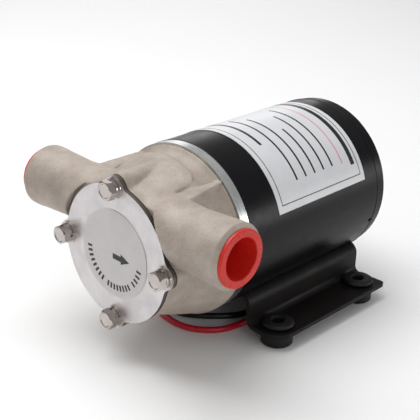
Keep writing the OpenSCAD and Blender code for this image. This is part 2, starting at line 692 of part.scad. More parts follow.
module slot_2d() {
  // A slot that widens outward, behind a narrow mouth.
  polygon([polar(slot_root_r, slot_half_turn * 0.8), polar(slot_out_r, slot_half_turn),
    polar(slot_out_r, -slot_half_turn), polar(slot_root_r, -slot_half_turn * 0.8)]);
}
module slots_2d() { for (k = [0:slot_count - 1]) rotate(k * 360 / slot_count) slot_2d(); }
module armature_core() {
  color([0.35, 0.35, 0.37]) at_axis() along(core_y, core_end_y) difference() {
    circle(core_r);
    circle(shaft_mid_r);
    slots_2d();
    for (k = [0:slot_count - 1]) rotate(k * 360 / slot_count)
      translate([slot_root_r, -slot_mouth / 2]) square([core_r, slot_mouth]);
  }
}
module winding_ring(y0, out) {
  // Winding head with rounded shoulders on its outer side, which lies toward 'out'.
  head_r = slot_out_r - edge;
  round_r = 0.45 * winding_head;
  y1 = y0 + out * winding_head;
  turned([[shaft_mid_r + winding_bore, y0], [head_r, y0], [head_r, y1 - out * round_r],
    [head_r - 0.3 * round_r, y1 - out * 0.3 * round_r], [head_r - round_r, y1],
      [shaft_mid_r + winding_bore, y1]]);
}
module armature_winding() {
  color([0.62, 0.3, 0.16]) at_axis() union() {
    along(core_y - over / 2, core_end_y + over / 2) slots_2d();
    winding_ring(core_y, -1);
    winding_ring(core_end_y, 1);
  }
}
module commutator() {
  bar_gap = 0.5;
  bar_gap_h = 1;
  color([0.72, 0.42, 0.24]) at_axis() along(commutator_y, commutator_y + commutator_len) difference() {
    circle(commutator_r);
    circle(shaft_mid_r);
    for (k = [0:bar_count - 1]) rotate(k * 360 / bar_count)
      translate([commutator_r - bar_gap_h, -bar_gap / 2]) square([2 * bar_gap_h, bar_gap]);
  }
}

brush_y = brush_plate_y - holder_wall - brush_d - fit_gap;
brush_out_r = commutator_r + fit_gap / 3 + brush_len;
holder_out_r = brush_out_r + 0.5 * brush_len;
holder_in_r = commutator_r + 3 * over;
module brush_plate() {
  color([0.45, 0.3, 0.16]) at_axis() difference() {
    ring(can_in_r, commutator_r + 2 * over, brush_plate_y, brush_plate_y + brush_plate_t);
    tie_holes(brush_plate_y - over, brush_plate_y + brush_plate_t + over, tie_r + tie_hole_clear);
  }
}
module brush_holders() {
  w = brush_w + 2 * holder_wall;
  d = brush_d + 2 * holder_wall + fit_gap;
  color([0.75, 0.6, 0.3]) at_axis() mirrored([0, 0, 1]) difference() {
    translate([-w / 2, brush_plate_y - d, holder_in_r]) cube([w, d, holder_out_r - holder_in_r]);
    translate([-brush_w / 2, brush_y - fit_gap / 2, holder_in_r - over])
      cube([brush_w, brush_d + fit_gap, holder_out_r - holder_in_r + over - holder_wall]);
  }
}
module brush() {
  translate([-brush_w / 2 + fit_gap / 2, brush_y, 0]) difference() {
    translate([0, 0, commutator_r - over]) cube([brush_w - fit_gap, brush_d, brush_len + over + fit_gap / 3]);
    translate([brush_w / 2 - fit_gap / 2, -over, 0]) rotate([-90, 0, 0])
      cylinder(r = commutator_r + fit_gap / 3, h = brush_d + 2 * over);
  }
}
module brush_upper() { color([0.18, 0.18, 0.19]) at_axis() brush(); }
module brush_lower() { color([0.18, 0.18, 0.19]) at_axis() mirror([0, 0, 1]) brush(); }
module brush_springs() {
  // A plain sleeve stands for each hidden coil.
  color([0.6, 0.6, 0.62]) at_axis() mirrored([0, 0, 1]) translate([0, brush_y + brush_d / 2, brush_out_r])
    difference() {
      cylinder(r = 0.4 * brush_d, h = holder_out_r - holder_wall - brush_out_r);
      translate([0, 0, -over]) cylinder(r = 0.25 * brush_d, h = holder_out_r);
    }
}

hole_x = foot_pitch_x / 2;
hole_y = foot_pitch_y / 2;
rail_end_x = hole_x + rail_edge_x;
web_in_x = web_x - rail_t;
rail_foot_z = rail_top - rail_t;
lip_z = axis_h - lip_drop;
foot_bend_r = rail_fillet_r + rail_t;
module rail_section() {
  // Outline in X and Z: flange, web and the lip that is welded to the tube.
  difference() {
    union() {
      translate([web_in_x, rail_foot_z]) square([rail_end_x - web_in_x, rail_t]);
      translate([web_in_x, rail_foot_z]) square([rail_t, lip_z - rail_foot_z - rail_bend_r]);
      translate([web_x - rail_bend_r, lip_z - rail_bend_r]) circle(rail_bend_r);
      translate([0, lip_z - rail_t]) square([web_x - rail_bend_r, rail_t]);
      translate([web_x, rail_top]) square(rail_fillet_r);
    }
    translate([web_x + rail_fillet_r, rail_top + rail_fillet_r]) circle(rail_fillet_r);
    translate([0, axis_h]) circle(flange_r);
    translate([web_x - rail_bend_r, lip_z - rail_bend_r]) circle(rail_bend_r - rail_t);
    square([web_in_x, lip_z - rail_bend_r]);
    square([web_x - rail_bend_r, lip_z - rail_t]);
    translate([web_in_x, rail_foot_z]) difference() {
      translate([-over, -over]) square(foot_bend_r + over);
      translate([foot_bend_r, foot_bend_r]) circle(foot_bend_r);
    }
  }
}
module rail_plan() {
  // Plan of the flange with its front corner round the foot.
  translate([0, -hole_y]) square([rail_end_x, 2 * hole_y + rail_rear - rail_corner_r]);
  translate([0, -hole_y]) square([rail_end_x - rail_corner_r, 2 * hole_y + rail_rear]);
  translate([rail_end_x - rail_corner_r, hole_y + rail_rear - rail_corner_r]) circle(rail_corner_r);
  translate([0, -hole_y - rail_front]) square([hole_x, rail_front + over]);
  intersection() {
    translate([hole_x, -hole_y]) circle(rail_front);
    translate([0, -hole_y - rail_front]) square([rail_end_x, 2 * rail_front]);
  }
}
module rail() {
  difference() {
    intersection() {
      translate([0, hole_y + rail_rear, 0]) rotate([90, 0, 0])
        linear_extrude(foot_pitch_y + rail_front + rail_rear) rail_section();
      linear_extrude(axis_h) rail_plan();
    }
    for (s = [-1, 1]) translate([hole_x, s * hole_y, rail_foot_z - over])
      cylinder(r = groove_r, h = rail_t + 2 * over);
  }
}
module rail_right() { color([0.11, 0.11, 0.12]) rail(); }
module rail_left() { color([0.11, 0.11, 0.12]) mirror([1, 0, 0]) rail(); }
module rubber_feet() {
  top = rail_top + collar_h;
  color([0.16, 0.16, 0.17]) for (sx = [-1, 1], sy = [-1, 1]) translate([sx * hole_x, sy * hole_y, 0])
    rotate_extrude() polygon([[foot_hole_r, 0], [foot_r - edge, 0], [foot_r, edge], [foot_r, rail_foot_z],
      [groove_r, rail_foot_z], [groove_r, rail_top], [collar_r - collar_bevel, rail_top],
      [collar_r, rail_top + collar_bevel], [collar_r - edge / 2, top - edge], [collar_r - 1.5 * edge,
        top - edge / 3],
      [collar_r - 3 * edge, top], [foot_dish_r, top], [foot_hole_r, top - foot_dish_h]]);
}

exit_z = -flange_r - grommet_drop;
module lead_grommet() {
  color([0.1, 0.1, 0.1]) at_axis() difference() {
    translate([0, grommet_y, 0]) union() {
      translate([0, 0, exit_z]) linear_extrude(grommet_drop + over) grommet_slot_2d(grommet_r);
      translate([0, 0, exit_z + grommet_drop]) linear_extrude(can_wall) grommet_slot_2d(grommet_r - edge);
    }
    for (s = [-1, 1]) translate([s * lead_half_gap, grommet_y, exit_z - over])
      cylinder(r = lead_r, h = grommet_drop + can_wall + 2 * over);
    along(grommet_y - 2 * grommet_r, grommet_y + 2 * grommet_r) circle(can_in_r);
    difference() {
      ring(flange_r, can_in_r - over, grommet_y - 2 * grommet_r, grommet_y + 2 * grommet_r);
      translate([0, grommet_y, exit_z]) linear_extrude(3 * can_wall) grommet_slot_2d(grommet_r - edge);
    }
  }
}

// Routes of the leads, in mm in the part's own frame; they leave the grommet straight down.
red_route = [[3, 38.5, 9], [3, 38.5, 8], [3, 36.7, 3.6], [3, 32.5, 1.5], [7, 20, 1.5], [15, 0, 1.5],
  [20.5, -18, 1.5], [21, -32, 1.5], [18, -44.5, 1.5], [8, -53.5, 1.5], [-5, -55, 1.5], [-17, -51, 1.5],
  [-24, -42, 1.5], [-26, -26, 1.5], [-24, -6, 1.5], [-25, 14, 1.5], [-24, 34, 1.5]];
black_route = [[-3, 38.5, 9], [-3, 38.5, 8], [-3, 36.7, 3.6], [-3, 32.5, 1.5], [1, 20, 1.5], [9, 0, 1.5],
  [15, -14, 1.5], [15.5, -25, 1.5], [9, -35.5, 1.5], [-2, -45, 1.5], [-11, -47, 1.5], [-18, -40, 1.5],
  [-20.5, -26, 1.5], [-18, -6, 1.5], [-17, 14, 1.5], [-12, 30, 1.5]];
lead_sides = 8;
lead_fine = 2;

function unit(v) = v / norm(v);
// Smooth curve through the route's points: n parts to a stretch.
function bezier_at(p, k, t) = let (a = p[max(k - 1, 0)], b = p[k], c = p[k + 1],
    d = p[min(k + 2, len(p) - 1)])
  0.5 * (2 * b + (c - a) * t + (2 * a - 5 * b + 4 * c - d) * t * t + (3 * b - a - 3 * c + d) * t * t * t);
function curve(p, n) = concat([for (k = [0:len(p) - 2]) for (j = [0:n - 1]) bezier_at(p, k, j / n)],
  [p[len(p) - 1]]);
function tangents(c) = [for (k = [0:len(c) - 1]) unit(c[min(k + 1, len(c) - 1)] - c[max(k - 1, 0)])];
// Carries one side direction along the curve without twist.
function carried(t, k, n) = k == 0 ? n : let (m = carried(t, k - 1, n)) unit(m - (m * t[k]) * t[k]);
module tube(route, r, first) {
  c = curve(route, lead_fine);
  t = tangents(c);
  side = [for (k = [0:len(c) - 1]) carried(t, k, first)];
  points = [for (k = [0:len(c) - 1]) for (j = [0:lead_sides - 1]) let (a = (j + 0.5) * 360 / lead_sides)
    c[k] + r * (cos(a) * side[k] + sin(a) * cross(t[k], side[k]))];
  n = lead_sides;
  last = (len(c) - 1) * n;
  faces = concat([[for (j = [0:n - 1]) j]],
    [for (k = [0:len(c) - 2]) for (j = [0:n - 1]) let (a = k * n + j, b = k * n + (j + 1) % n)
      each [[a, a + n, b], [b, a + n, b + n]]],
    [[for (j = [n - 1:-1:0]) last + j]]);
  polyhedron(points, faces, convexity = 10);
}
module bare_end(route) {
  a = route[len(route) - 2];
  b = route[len(route) - 1];
  d = unit(b - a);
  translate(b) rotate([0, acos(d[2]), atan2(d[1], d[0])]) cylinder(r = strand_r, h = strand_len, $fn = 24);
}
module red_lead() {
  color([0.8, 0.08, 0.15]) union() { tube(red_route, lead_r, [1, 0, 0]); bare_end(red_route); }
}
module black_lead() {
  color([0.08, 0.08, 0.09]) union() { tube(black_route, lead_r, [1, 0, 0]); bare_end(black_route); }
}

pump_body();
cover_plate();
cover_gasket();
cover_label();
cover_bolts();
cover_spring_washers();
cover_flat_washers();
cam_block();
wear_plate();
shaft_seal();
front_end_bell();
front_bearing_outer();
motor_can();
magnet_upper();
magnet_lower();
brush_plate();
brush_holders();
brush_upper();
brush_lower();
brush_springs();
rear_end_cap();
rear_bearing_outer();
tie_bolts();
rail_right();
rail_left();
rubber_feet();
motor_label();
lead_grommet();
red_lead();
black_lead();
rotor_shaft();
impeller_insert();
impeller_vanes();
shaft_slinger();
front_bearing_inner();
armature_core();
armature_winding();
commutator();
rear_bearing_inner();
front_ball_cage();
rear_ball_cage();
port_plug_right();
port_plug_left();
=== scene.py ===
"""Looks of a flexible-impeller pump on a DC motor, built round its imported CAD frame.

Sizes are in millimetres and turned to metres where a mesh is made. +X runs along the ports, +Y back
along the motor shaft and +Z up. The origin is the middle of the four foot holes, on the floor.
"""

import math

import bpy
import numpy as np
import openvdb
from mathutils import Matrix, Vector


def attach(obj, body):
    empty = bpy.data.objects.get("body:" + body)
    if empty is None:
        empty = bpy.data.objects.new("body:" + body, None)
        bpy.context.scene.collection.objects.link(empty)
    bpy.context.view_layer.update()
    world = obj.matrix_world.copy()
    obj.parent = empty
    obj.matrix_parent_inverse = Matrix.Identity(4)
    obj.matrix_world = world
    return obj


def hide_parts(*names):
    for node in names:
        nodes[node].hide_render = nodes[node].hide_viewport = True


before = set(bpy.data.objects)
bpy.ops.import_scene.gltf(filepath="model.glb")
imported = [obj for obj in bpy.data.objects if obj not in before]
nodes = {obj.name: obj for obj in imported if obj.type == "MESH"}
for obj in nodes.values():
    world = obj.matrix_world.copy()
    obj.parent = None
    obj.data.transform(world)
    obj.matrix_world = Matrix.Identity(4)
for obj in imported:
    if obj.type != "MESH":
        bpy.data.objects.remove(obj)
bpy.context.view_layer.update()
scene = bpy.context.scene

MM = 0.001
AXIS_Z = 51.0  # height of the motor axis
FRONT_Y = -94.0  # front face of the cover


# Camera

AZIMUTH, ELEVATION, ROLL = map(math.radians, (42.77, 23.58, 2.03))
TARGET = Vector((0.56, -35.34, 54.37)) * MM
DISTANCE = 475.08 * MM
SENSOR_WIDTH = 36
FOCAL_SHARE = 1020.68 / 420  # focal length as a share of the picture's width
CLIP_NEAR, CLIP_FAR = 0.01, 20  # in metres


def place_camera():
    """The camera looks at TARGET from DISTANCE, turned about its own line of sight by ROLL."""
    ca, sa = math.cos(AZIMUTH), math.sin(AZIMUTH)
    ce, se = math.cos(ELEVATION), math.sin(ELEVATION)
    back = Vector((sa * ce, -ca * ce, se))
    level = Vector((ca, sa, 0))
    upright = back.cross(level)
    right = level * math.cos(ROLL) + upright * math.sin(ROLL)
    up = upright * math.cos(ROLL) - level * math.sin(ROLL)
    data = bpy.data.cameras.new("photo_camera")
    data.sensor_width = SENSOR_WIDTH
    data.lens = SENSOR_WIDTH * FOCAL_SHARE
    data.clip_start, data.clip_end = CLIP_NEAR, CLIP_FAR
    camera = bpy.data.objects.new("photo_camera", data)
    scene.collection.objects.link(camera)
    camera.matrix_world = Matrix((*zip(right, up, back, TARGET + back * DISTANCE), (0, 0, 0, 1)))
    scene.camera = camera


place_camera()


# Meshes


def piece(name, shape, material, smooth=True):
    """An object riding on the housing, from a shape: corners in mm and a list of face arrays."""
    co, faces = shape
    loops = np.concatenate([f.ravel() for f in faces]).astype(np.int32)
    sizes = np.concatenate([np.full(len(f), f.shape[1]) for f in faces])
    mesh = bpy.data.meshes.new(name)
    mesh.vertices.add(len(co))
    mesh.vertices.foreach_set("co", (co * MM).astype(np.float32).ravel())
    mesh.loops.add(len(loops))
    mesh.loops.foreach_set("vertex_index", loops)
    mesh.polygons.add(len(sizes))
    mesh.polygons.foreach_set("loop_start", (np.cumsum(sizes) - sizes).astype(np.int32))
    mesh.polygons.foreach_set("use_smooth", np.full(len(sizes), smooth))
    mesh.update(calc_edges=True)
    mesh.validate()
    mesh.materials.append(material)
    ob = bpy.data.objects.new(name, mesh)
    scene.collection.objects.link(ob)
    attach(ob, "housing")
    return ob


def ring_quads(rings, corners, closed=False):
    """Faces between neighbouring rings of corners; closed joins the last ring to the first."""
    k, j = (v.ravel() for v in np.indices((rings if closed else rings - 1, corners)))
    k2, j2 = (k + 1) % rings * corners, (j + 1) % corners
    k = k * corners
    return np.stack([k + j, k + j2, k2 + j2, k2 + j], axis=1)


def tube(path, radius, sides):
    """A closed tube: at each point of the path a ring of equal steps lies square to the path, and a
    fan of triangles closes each end.

    The ring's first direction is carried from point to point by taking out its part along the path,
    so it never twists.
    """
    tangent = np.gradient(path, axis=0)
    tangent /= np.linalg.norm(tangent, axis=1)[:, None]
    first = np.empty_like(path)
    side = np.array([1.0, 0.0, 0.0])
    for k, along in enumerate(tangent):
        side = side - along * (side @ along)
        side /= np.linalg.norm(side)
        first[k] = side
    second = np.cross(tangent, first)
    a = np.arange(sides)[:, None] * 2 * np.pi / sides
    rings = path[:, None] + radius * (np.cos(a) * first[:, None] + np.sin(a) * second[:, None])
    count = len(path) * sides
    j = np.arange(sides)
    j2 = (j + 1) % sides
    start = np.stack([np.full(sides, count), j2, j], axis=1)
    end = np.stack([np.full(sides, count + 1), count - sides + j, count - sides + j2], axis=1)
    co = np.concatenate([rings.reshape(-1, 3), path[:1], path[-1:]])
    return co, [ring_quads(len(path), sides), start, end]


def arc(x, y, radius, start, end, parts):
    """Points round a centre at equal steps from one angle in degrees to another."""
    a = np.radians(np.linspace(start, end, parts + 1))
    return np.stack([x + radius * np.cos(a), y + radius * np.sin(a)], axis=1)


def lathe(p, middle, side, turns):
    """A closed ring: profile points p (distance along X, radius) turned about a line along X
    through middle, and mirrored where side is -1."""
    a = np.arange(turns) * 2 * np.pi / turns
    co = np.stack([np.broadcast_to(side * p[:, :1], (len(p), turns)),
                   middle[0] + p[:, 1:] * np.cos(a), middle[1] + p[:, 1:] * np.sin(a)], axis=2)
    return co.reshape(-1, 3), [ring_quads(len(p), turns, closed=True)[:, ::side]]


def copies(blocks, faces):
    """Many copies of one solid: blocks is (copies, corners, 3), and faces are one copy's."""
    step = np.arange(len(blocks))[:, None, None] * blocks.shape[1]
    return blocks.reshape(-1, 3), [(f[None] + step).reshape(-1, f.shape[1]) for f in faces]


# Materials


def linear(colour):
    """sRGB hex, such as "c8beb0", as linear RGBA."""
    c = np.array([int(colour[i:i + 2], 16) for i in (0, 2, 4)]) / 255
    return (*np.where(c <= 0.04045, c / 12.92, ((c + 0.055) / 1.055) ** 2.4), 1.0)


def toned(colour, share):
    """The hex colour with each channel taken times a share."""
    channels = [min(255, round(int(colour[i:i + 2], 16) * share)) for i in (0, 2, 4)]
    return "".join(f"{c:02x}" for c in channels)


def add(tree, kind, inputs=None, **settings):
    """Adds a node with its settings. An input's value may be a number, a colour or an output."""
    node = tree.nodes.new(kind)
    for key, value in settings.items():
        setattr(node, key, value)
    for key, value in (inputs or {}).items():
        if isinstance(value, bpy.types.NodeSocket):
            tree.links.new(value, node.inputs[key])
        else:
            node.inputs[key].default_value = value
    return node


def surface(name, **sockets):
    """A material with these values on its shader's sockets; returns (material, tree, shader)."""
    material = bpy.data.materials.new(name)
    material.use_nodes = True
    tree = material.node_tree
    shader = tree.nodes["Principled BSDF"]
    for key, value in sockets.items():
        shader.inputs[key.replace("_", " ")].default_value = value
    return material, tree, shader


def grain(tree, size_mm, detail, roughness=0.5, stretch=None):
    """Noise of about size_mm on Object coordinates; a stretch below 1 draws it out that way."""
    place = add(tree, "ShaderNodeTexCoord").outputs["Object"]
    if stretch:
        place = add(tree, "ShaderNodeMapping", {"Vector": place, "Scale": stretch}).outputs[0]
    return add(tree, "ShaderNodeTexNoise", {
        "Vector": place, "Scale": 1 / (size_mm * MM), "Detail": detail, "Roughness": roughness,
    }).outputs["Fac"]


def shades(tree, factor, *stops):
    """A colour ramp: stops are (place, hex)."""
    node = add(tree, "ShaderNodeValToRGB", {"Fac": factor})
    elements = node.color_ramp.elements
    while len(elements) < len(stops):
        elements.new(0.5)
    for element, (place, colour) in zip(elements, stops):
        element.position, element.color = place, linear(colour)
    return node.outputs["Color"]


def spread(tree, factor, low, high, start=0.3, end=0.7):
    """Maps a factor between start and end to the range low to high."""
    return add(tree, "ShaderNodeMapRange", {
        "Value": factor, "From Min": start, "From Max": end, "To Min": low, "To Max": high,
    }).outputs["Result"]


def mottle(tree, shader, colour, size_mm, share):
    """Soft clouds of about size_mm in the base colour, from a share darker to a share lighter."""
    cloud = shades(tree, grain(tree, size_mm, detail=3, roughness=0.6),
                   (0.35, toned(colour, 1 - share)), (0.65, toned(colour, 1 + share)))
    tree.links.new(cloud, shader.inputs["Base Color"])


def bump(tree, shader, factor, height_mm):
    """Raises the surface by up to height_mm where factor is 1."""
    node = add(tree, "ShaderNodeBump",
               {"Height": factor, "Distance": height_mm * MM, "Strength": 1})
    tree.links.new(node.outputs["Normal"], shader.inputs["Normal"])


def cast_bronze():
    """Sand-cast bronze after bead blasting: a dull skin hides most of the metal's shine, in cloudy
    patches of 9 mm with pale specks and dark pits.

    The real craters are 0.2 mm wide. They are drawn at 0.7 to 0.9 mm, coarse enough to show.
    """
    material, tree, shader = surface("bead_blasted_bronze", Metallic=0.1, Roughness=0.5)
    cloud = shades(tree, grain(tree, 9, detail=4, roughness=0.6),
                   (0.32, "95877b"), (0.5, "aa9d92"), (0.66, "bbb0a5"))
    speck = shades(tree, grain(tree, 0.7, detail=3, roughness=0.7),
                   (0.3, "82756b"), (0.42, "aa9e93"), (0.6, "b3a79c"), (0.75, "ccc2b7"))
    # Of the Mix node's sockets, inputs 6 and 7 and output 2 are its colours.
    both = add(tree, "ShaderNodeMix", {"Factor": 0.5, 6: cloud, 7: speck}, data_type="RGBA")
    tree.links.new(both.outputs[2], shader.inputs["Base Color"])
    bump(tree, shader, grain(tree, 0.9, detail=4, roughness=0.65), 0.06)
    return material


def bare_metal(name, colour, rough, grain_mm=0.8, stretch=None, depth_mm=0.004):
    """Bare metal: faint clouds of 9 mm in its colour, and a grain in its gloss and its height.

    The real grain is 0.2 mm or finer. It is drawn at grain_mm, coarse enough to show.
    """
    material, tree, shader = surface(name, Metallic=1)
    fine = grain(tree, grain_mm, detail=2, roughness=0.6, stretch=stretch)
    tree.links.new(spread(tree, fine, rough * 0.8, rough * 1.25), shader.inputs["Roughness"])
    mottle(tree, shader, colour, size_mm=9, share=0.035)
    bump(tree, shader, fine, depth_mm)
    return material


def powder_coat(name, colour, rough, peel_mm):
    """Black powder coat: a soft gloss that wanders over 6 mm, and a slight orange peel, whose waves
    are of their real size."""
    material, tree, shader = surface(name, IOR=1.5, Specular_IOR_Level=0.18)
    peel = grain(tree, peel_mm, detail=1)
    mottle(tree, shader, colour, size_mm=7, share=0.12)
    gloss = grain(tree, 6, detail=2)
    tree.links.new(spread(tree, gloss, rough * 0.9, rough * 1.15), shader.inputs["Roughness"])
    bump(tree, shader, peel, 0.02)
    return material


def moulded(name, colour, rough, grain_mm=1.0, depth_mm=0.01, clouds=0.03, IOR=1.5, **sockets):
    """Rubber, plastic, film or pressed stuff: faint clouds of 6 mm in its colour, and a fine grain.

    A mould's real texture is 0.1 mm or finer. It is drawn at grain_mm, coarse enough to show.
    """
    material, tree, shader = surface(name, IOR=IOR, **sockets)
    fine = grain(tree, grain_mm, detail=2)
    mottle(tree, shader, colour, size_mm=6, share=clouds)
    tree.links.new(spread(tree, fine, rough * 0.88, rough * 1.12), shader.inputs["Roughness"])
    bump(tree, shader, fine, depth_mm)
    return material


bronze = cast_bronze()
# Rolled stainless sheet: satin white, with upright lines 0.1 mm apart, drawn at 0.5 mm.
sheet_steel = bare_metal("stainless_sheet", "d2cecf", 0.4, 0.5, (1, 1, 0.08), 0.002)
# The sheet's sheared edge: torn, so dull; its darker colour is painted shade along the plate's
# edge.
sheared_edge_painted_shade = bare_metal("sheared_edge_painted_shade", "6e6560", 0.5, 0.4)
# Cold-headed stainless bolts: bright and warm, with dark reflections in their flats.
bolt_steel = bare_metal("stainless_bolt", "bfb7b2", 0.17, 0.6, depth_mm=0.002)
# Turned aluminium: white, with the tool's rings 0.2 mm apart, drawn at 0.6 mm.
bell_aluminium = bare_metal("turned_aluminium", "d3d4d4", 0.3, 0.6, (0.06, 1, 0.06), 0.003)
# Ground bearing steel: bright, close to a mirror.
bearing_steel = bare_metal("bearing_steel", "b4b4ba", 0.2)
# Stamped iron sheets, stacked: grey and dull.
lamination_steel = bare_metal("lamination_steel", "6a6a70", 0.45)
# Cast brass: yellow, with a low shine.
brass = bare_metal("brass", "c9a25a", 0.35)
# Copper under a clear enamel: red-brown and soft.
copper = bare_metal("enamelled_copper", "a8542c", 0.35, 1.0)
# Tinned copper strands: pale, with a grain as fine as a strand, 0.3 mm.
tinned_copper = bare_metal("tinned_copper", "c89a78", 0.3, 0.3)
# Powder coat on the motor: deep black, with a broad soft highlight.
tube_coat = powder_coat("black_powder_coat", "09080c", 0.3, peel_mm=1.6)
# Powder coat on the rails: a duller, browner black.
rail_coat = powder_coat("black_rail_coat", "161312", 0.48, peel_mm=1.8)
# Moulded rubber: matt and nearly black.
rubber = moulded("moulded_rubber", "141213", 0.55, Specular_IOR_Level=0.35)
# Moulded polythene plugs: clear red, and slightly waxy.
polythene = moulded("red_polythene", "d0281d", 0.3, 1.2, IOR=1.51, Specular_IOR_Level=0.35)
# PVC sheaths, drawn through a die: smooth and glossy.
red_pvc = moulded("red_pvc", "c4102a", 0.3, 2.0, 0.008, IOR=1.53)
black_pvc = moulded("black_pvc", "101012", 0.32, 2.0, 0.008, IOR=1.53)
# Printed films: flat pale silver with a soft sheen, nearly even.
label_film = moulded("label_film", "d6d7da", 0.35, 3.0, 0.002, clouds=0.008)
disc_film = moulded("silver_film", "d2cecd", 0.4, 3.0, 0.002, clouds=0.012)
# Screen inks: thin and even.
black_ink = moulded("black_ink", "17171a", 0.4, 3.0, 0.0005)
red_ink = moulded("red_ink", "dc9499", 0.4, 3.0, 0.0005)
# Painted shade: a near-black ring stands in for the shadow inside the open joint behind the tube.
joint_painted_shade = moulded("joint_painted_shade", "030303", 0.9, Specular_IOR_Level=0.1)
# Pressed gasket fibre, sintered ferrite, phenolic board and pressed carbon: dull and grainy.
gasket_fibre = moulded("gasket_fibre", "3a3733", 0.8)
ferrite = moulded("ferrite", "34343a", 0.6)
phenolic_board = moulded("phenolic_board", "6b4326", 0.5)
carbon = moulded("pressed_carbon", "26262a", 0.55)

FINISHES = (
    (bronze, "pump_body"),
    (sheet_steel, "cover_plate wear_plate"),
    (bolt_steel, "cover_bolts cover_spring_washers cover_flat_washers tie_bolts"),
    (bell_aluminium, "front_end_bell"),
    (bearing_steel, "front_bearing_outer front_bearing_inner front_ball_cage rear_bearing_outer "
                    "rear_bearing_inner rear_ball_cage rotor_shaft brush_springs"),
    (lamination_steel, "armature_core"),
    (brass, "cam_block impeller_insert brush_holders"),
    (copper, "armature_winding commutator"),
    (tube_coat, "motor_can rear_end_cap"),
    (rail_coat, "rail_right rail_left"),
    (rubber, "rubber_feet lead_grommet impeller_vanes shaft_slinger shaft_seal"),
    (polythene, "port_plug_right port_plug_left"),
    (red_pvc, "red_lead"),
    (black_pvc, "black_lead"),
    (label_film, "motor_label"),
    (disc_film, "cover_label"),
    (gasket_fibre, "cover_gasket"),
    (ferrite, "magnet_upper magnet_lower"),
    (phenolic_board, "brush_plate"),
    (carbon, "brush_upper brush_lower"),
)
EDGE_NORMAL = 0.6  # a face of the cover whose normal has less than this along Y is on its edge


def finish_nodes():
    """Gives each CAD node its material, and the cover's edge faces a second, darker one, which
    paints shade along the plate's edge.
    """
    for material, names in FINISHES:
        for name in names.split():
            nodes[name].data.materials.clear()
            nodes[name].data.materials.append(material)
    cover = nodes["cover_plate"].data
    cover.materials.append(sheared_edge_painted_shade)
    normals = np.empty(len(cover.polygons) * 3, np.float32)
    cover.polygons.foreach_get("normal", normals)
    # edge faces take the darker sheared-edge material, which paints shade along the plate's edge
    on_edge = np.abs(normals[1::3]) < EDGE_NORMAL
    cover.polygons.foreach_set("material_index", on_edge.astype(np.int32))


finish_nodes()


# Casting: y is measured back from the cover's front face, and x and z from the motor axis

LAND_Y, BODY_LENGTH = 2.3, 36.6  # face under the gasket, and the length behind it
FLANGE_Y, FLANGE_R, FLANGE_THICK = LAND_Y + BODY_LENGTH, 40.0, 3.2
COVER_R, EAR_R, EAR_FILLET_R, BOLT_CIRCLE_R = 31.5, 5.5, 4.0, 30.5
FRONT_R = COVER_R - 0.6
PORT_Y, PORT_Z, PORT_END = 11.8, 15.9, 60.4
NECK_R, NECK_END_R, BEAD_R, PASSAGE_R, MOUTH_R = 13.4, 14.15, 14.4, 7.5, 10.45
SKIN_END = 53.2  # station along a port where its turned end takes over
NECK_TAPER = (25, NECK_R + 0.6), (36, NECK_R), (SKIN_END, NECK_END_R)  # station, radius
MOUTH_STEP = (44.4, PASSAGE_R), (45.6, MOUTH_R)

# Each is a share of the body's length, then of the way from the front edge's radius to the top's.
SKIRT = ((0, 0), (0.1, 0.02), (0.25, 0.12), (0.4, 0.3), (0.56, 0.52), (0.7, 0.7), (0.82, 0.84),
         (0.9, 0.93))
SHOULDER = ((0.02, 0), (0.07, 0.1), (0.16, 0.21), (0.24, 0.32), (0.35, 0.48), (0.46, 0.64),
            (0.57, 0.8), (0.68, 0.95), (0.76, 1), (0.8, 1))
SHOULDER_R = FLANGE_R - 2.5
SHOULDER_HALF, SHOULDER_BACK, SHOULDER_CORNER = 13.8, 23, 7.6  # its footprint, less the corners
CHANNEL_R, CHANNEL_Y, CHANNEL_SECTION_R = 44.4, 31.4, 8.6
CHANNEL_END, LOWEST_ANGLE = 16, -60  # degrees above the horizontal

# x and z as shares of the bolt circle's radius, reach of the rounding, and rear end.
BOSSES = ((0, 1, 0.8, 26), (0, -1, 1.2, 24), (1, 0, 1.2, 24), (-1, 0, 1.2, 24))
BOSS_DRAFT = 0.02  # growth of a boss's radius for each mm along it
GUSSET = np.array([(18.4, 7.5, PORT_Z + NECK_R - 0.35),  # crest of the neck
                   (24.4, 38.8, 30.6),  # rim of the flange
                   (27.4, 13.4, PORT_Z + NECK_R - 0.02)])  # side of the neck
GUSSET_DEPTH, GUSSET_MARGIN = 9, 1

# How far each rounding reaches on either side of its edge.
CHANNEL_REACH, FOOTPRINT_REACH, SHOULDER_REACH, FRONT_REACH = 1.2, 1, 0.7, 0.6
NECK_REACH, GUSSET_REACH, GUSSET_CORNER_REACH, HOLE_REACH = 1.2, 0.35, 0.3, 0.2

# Bores and seats: the radius of each, and where it ends, begins or lies.
SEAT_R = 33.3
CHAMBER_R, CHAMBER_END = 25.5, 21.8
CAM_SLOT_HALF, CAM_SLOT_R, CAM_SLOT_END = 2, 27.3, 21
SEAL_R, SEAL_END, SHAFT_HOLE_R = 11, 30.8, 5.2
CAVITY_R, CAVITY_Y = 27, 32.6
BOLT_R, BOLT_END = 2.5, 16
WEEP_R, WEEP_Y = 2, 35.6
TIE_R, TIE_X, TIE_Y = 2, 34.4, 33
FAR = 100  # more than any distance in the field

CELL = 0.45
GRID_BOX = (-54, 54), (-3.4, 39.95), (-41.5, 41.5)
BAND = 3.0  # the grid keeps the field to this distance from the skin
KEPT_SHARE = 0.5  # of the skin's faces


def blend(a, b, reach):
    """Smooth union of two distance fields: the lesser, less a rounding that reaches this far on
    either side of a tie."""
    h = np.maximum(reach - np.abs(a - b), 0) / reach
    return np.minimum(a, b) - h * h * reach / 4


def common(a, b, reach):
    """Smooth overlap of two fields, which is the smooth union of what they leave out."""
    return -blend(-a, -b, reach)


def cut(a, b, reach):
    """Field a with field b taken out, and the edge between them rounded."""
    return common(a, -b, reach)


def between(y, low, high):
    """Field of the slab from low to high."""
    return np.maximum(low - y, y - high)


